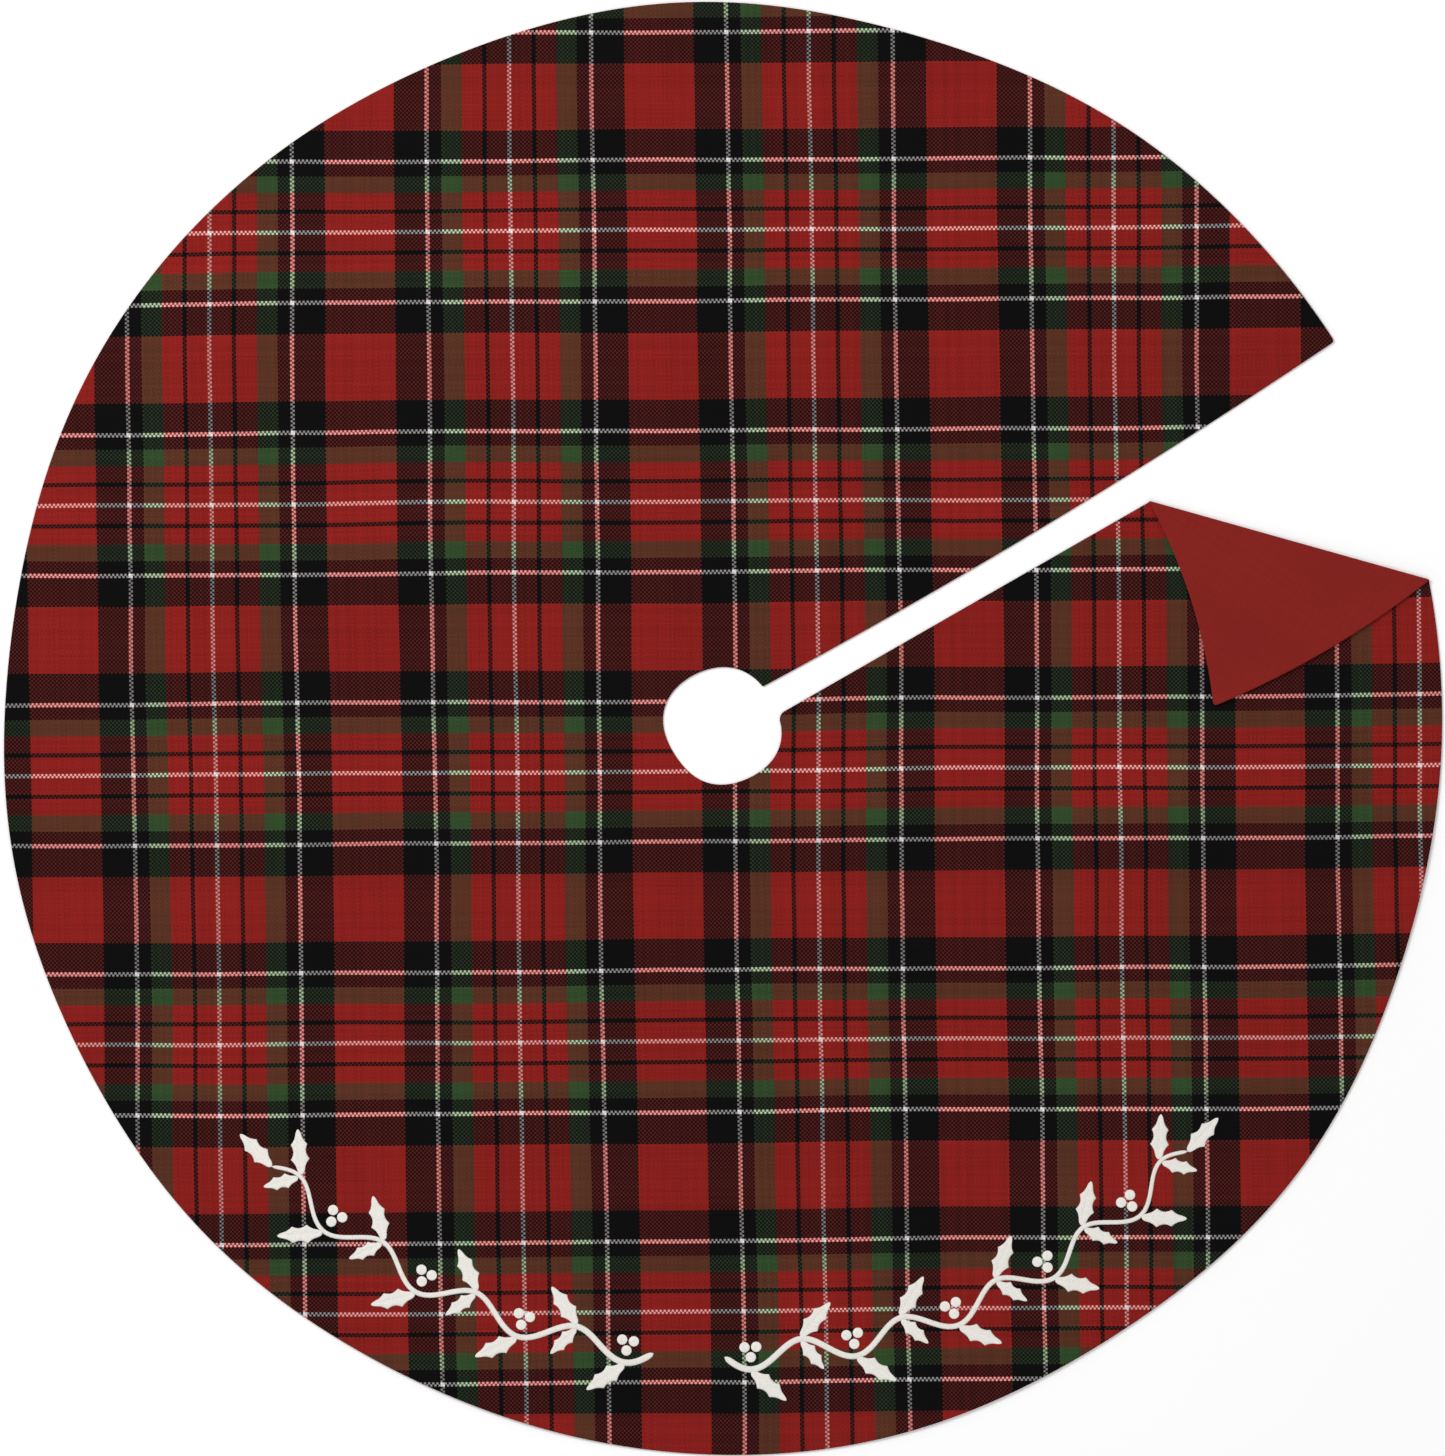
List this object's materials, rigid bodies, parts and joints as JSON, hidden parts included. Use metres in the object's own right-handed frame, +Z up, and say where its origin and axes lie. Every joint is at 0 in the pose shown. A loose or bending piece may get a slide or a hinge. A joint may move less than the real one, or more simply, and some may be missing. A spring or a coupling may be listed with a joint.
{
  "type": "tree skirt",
  "caption": "Round tartan cloth tree skirt with a trunk hole, a slit to the rim, a plain lining, an embroidered leaf garland and a corner that folds back.",
  "frame": {"origin": "centre of the trunk hole, on the skirt's underside, where it lies on the floor", "axes": "+X along the slit, inside it, from the trunk hole to the rim; +Z up, out of the tartan face; +Y to the left of the slit"},
  "size_m": [1.2188, 1.219, 0.0044],
  "materials": {
    "tartan_cotton": "matte yarn-dyed plain weave",
    "red_lining": "matte plain weave",
    "interlining": "soft unwoven felt",
    "sewing_thread": "twisted thread",
    "label_tape": "smooth woven tape",
    "embroidery_thread": "satin stitch with a soft sheen"
  },
  "bodies": {
    "skirt": {"face_panel": "tartan_cotton", "lining_panel": "red_lining", "interlining": "interlining", "rim_seam_thread": "sewing_thread", "trunk_hole_seam_thread": "sewing_thread", "slit_left_seam_thread": "sewing_thread", "slit_right_seam_thread": "sewing_thread", "care_label": "label_tape", "garland_left_stem": "embroidery_thread", "garland_left_leaves": "embroidery_thread", "garland_left_berries": "embroidery_thread", "garland_right_stem": "embroidery_thread", "garland_right_leaves": "embroidery_thread", "garland_right_berries": "embroidery_thread"},
    "corner": {"corner_face": "tartan_cotton", "corner_lining": "red_lining", "corner_interlining": "interlining", "corner_slit_seam_thread": "sewing_thread", "corner_rim_seam_thread": "sewing_thread"}
  },
  "joints": [
    {"name": "corner_fold", "type": "hinge", "parent": "skirt", "child": "corner", "pos_m": [0.4062, -0.0198, 0.0022], "axis": [-0.6897, 0.7241, 0], "range_deg": [0, 180]}
  ]
}
